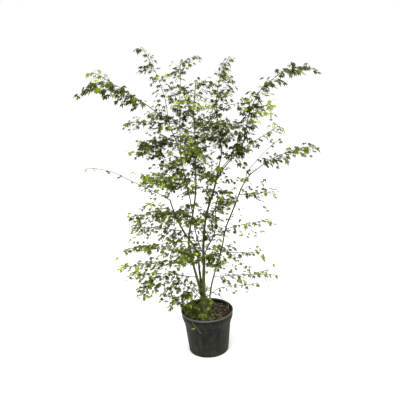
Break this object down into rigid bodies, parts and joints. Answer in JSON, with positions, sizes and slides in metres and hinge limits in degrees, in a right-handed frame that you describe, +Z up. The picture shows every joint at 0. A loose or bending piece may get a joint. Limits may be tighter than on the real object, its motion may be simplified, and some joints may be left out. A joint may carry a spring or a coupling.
{
  "type": "potted japanese maple",
  "caption": "Multi-stemmed Japanese maple with long arching shoots, standing in a round black nursery pot.",
  "frame": {"origin": "centre of the pot's flat underside", "axes": "+Z up along the pot's axis, -Y the plant's front, +X its right seen from the front"},
  "size_m": [1.2366, 0.6748, 1.6104],
  "materials": {
    "pot_plastic": "matte",
    "potting_soil": "matte",
    "bark": "satin",
    "foliage": "satin",
    "weeds": "matte",
    "litter": "matte"
  },
  "bodies": {
    "root": {"branch_low_left": "bark", "curled_leaf": "weeds", "dry_twig": "litter", "fallen_leaf_a": "litter", "fallen_leaf_b": "litter", "leader_left": "foliage", "leader_right": "foliage", "moss_pad": "weeds", "pot": "pot_plastic", "shoot_arch_left": "foliage", "shoot_bare_left": "foliage", "shoot_right": "foliage", "shoot_right_high": "foliage", "shoot_right_upper": "foliage", "shoot_tall_left": "foliage", "shoot_top_right": "foliage", "side_shoot_01": "foliage", "side_shoot_02": "foliage", "side_shoot_03": "foliage", "side_shoot_04": "foliage", "side_shoot_05": "foliage", "side_shoot_06": "foliage", "side_shoot_07": "foliage", "side_shoot_08": "foliage", "side_shoot_09": "foliage", "side_shoot_10": "foliage", "side_shoot_11": "foliage", "side_shoot_12": "foliage", "side_shoot_13": "foliage", "side_shoot_14": "foliage", "side_shoot_15": "foliage", "side_shoot_16": "foliage", "side_shoot_17": "foliage", "side_shoot_18": "foliage", "side_shoot_19": "foliage", "side_shoot_20": "foliage", "side_shoot_21": "foliage", "side_shoot_22": "foliage", "side_shoot_23": "foliage", "side_shoot_24": "foliage", "side_shoot_25": "foliage", "side_shoot_26": "foliage", "side_shoot_27": "foliage", "side_shoot_28": "foliage", "side_shoot_29": "foliage", "side_shoot_30": "foliage", "side_shoot_31": "foliage", "soil": "potting_soil", "stem_back": "bark", "stem_centre": "bark", "stem_front": "bark", "stem_left": "bark", "stem_right": "bark", "stem_short": "bark", "trailing_weed": "weeds", "trunk": "bark", "twig_low_right": "foliage", "weed_by_trunk": "weeds", "weed_front": "weeds"}
  },
  "joints": []
}
